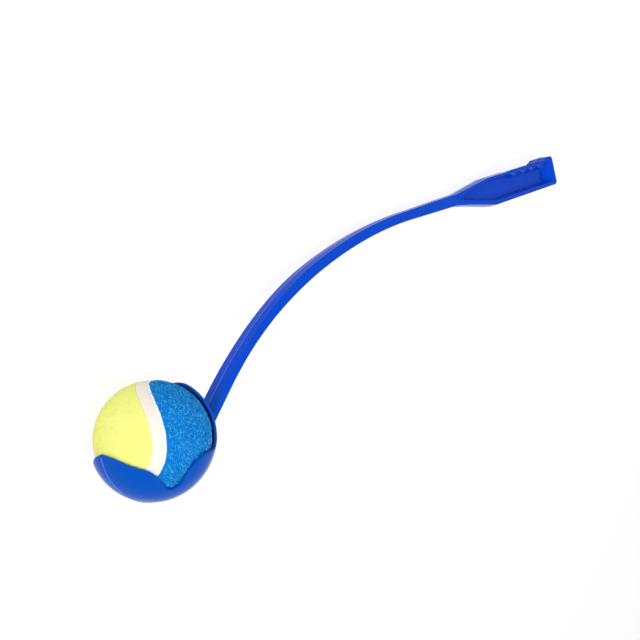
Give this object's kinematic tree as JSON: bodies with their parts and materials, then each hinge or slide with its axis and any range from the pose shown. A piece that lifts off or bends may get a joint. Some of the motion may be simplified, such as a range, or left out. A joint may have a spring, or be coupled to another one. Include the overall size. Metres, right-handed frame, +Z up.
{
  "type": "dog ball thrower",
  "caption": "Moulded plastic ball thrower with a lobed snap cup, a long bowed arm and a grooved hand grip, holding a felt-covered pet ball.",
  "frame": {"origin": "middle of the bounding box's footprint, on the floor that the thrower lies on", "axes": "+Z up from the floor, +X along the thrower from the ball to the hooked end of the handle, +Y towards the side that the arm bows to"},
  "size_m": [0.512, 0.0736, 0.0673],
  "materials": {
    "blue_polypropylene": "smooth glossy injection moulding",
    "black_rubber": "moulded, hidden under the felt",
    "yellow_felt": "short napped felt",
    "blue_felt": "short napped felt, fuzzier than the yellow",
    "white_felt": "smooth felt",
    "white_cement": "matt bead in the joins"
  },
  "bodies": {
    "thrower": {"thrower": "blue_polypropylene"},
    "ball": {"core_half_outer": "black_rubber", "core_half_inner": "black_rubber", "yellow_felt": "yellow_felt", "blue_felt": "blue_felt", "white_felt_band": "white_felt", "yellow_side_cement": "white_cement", "blue_side_cement": "white_cement"}
  },
  "joints": [
    {"name": "ball_release", "type": "slide", "parent": "thrower", "child": "ball", "axis": [-0.2663, 0.8692, -0.4167], "range_m": [0, 0.07], "deforming": ["yellow_felt", "blue_felt", "white_felt_band", "yellow_side_cement", "blue_side_cement"]}
  ]
}
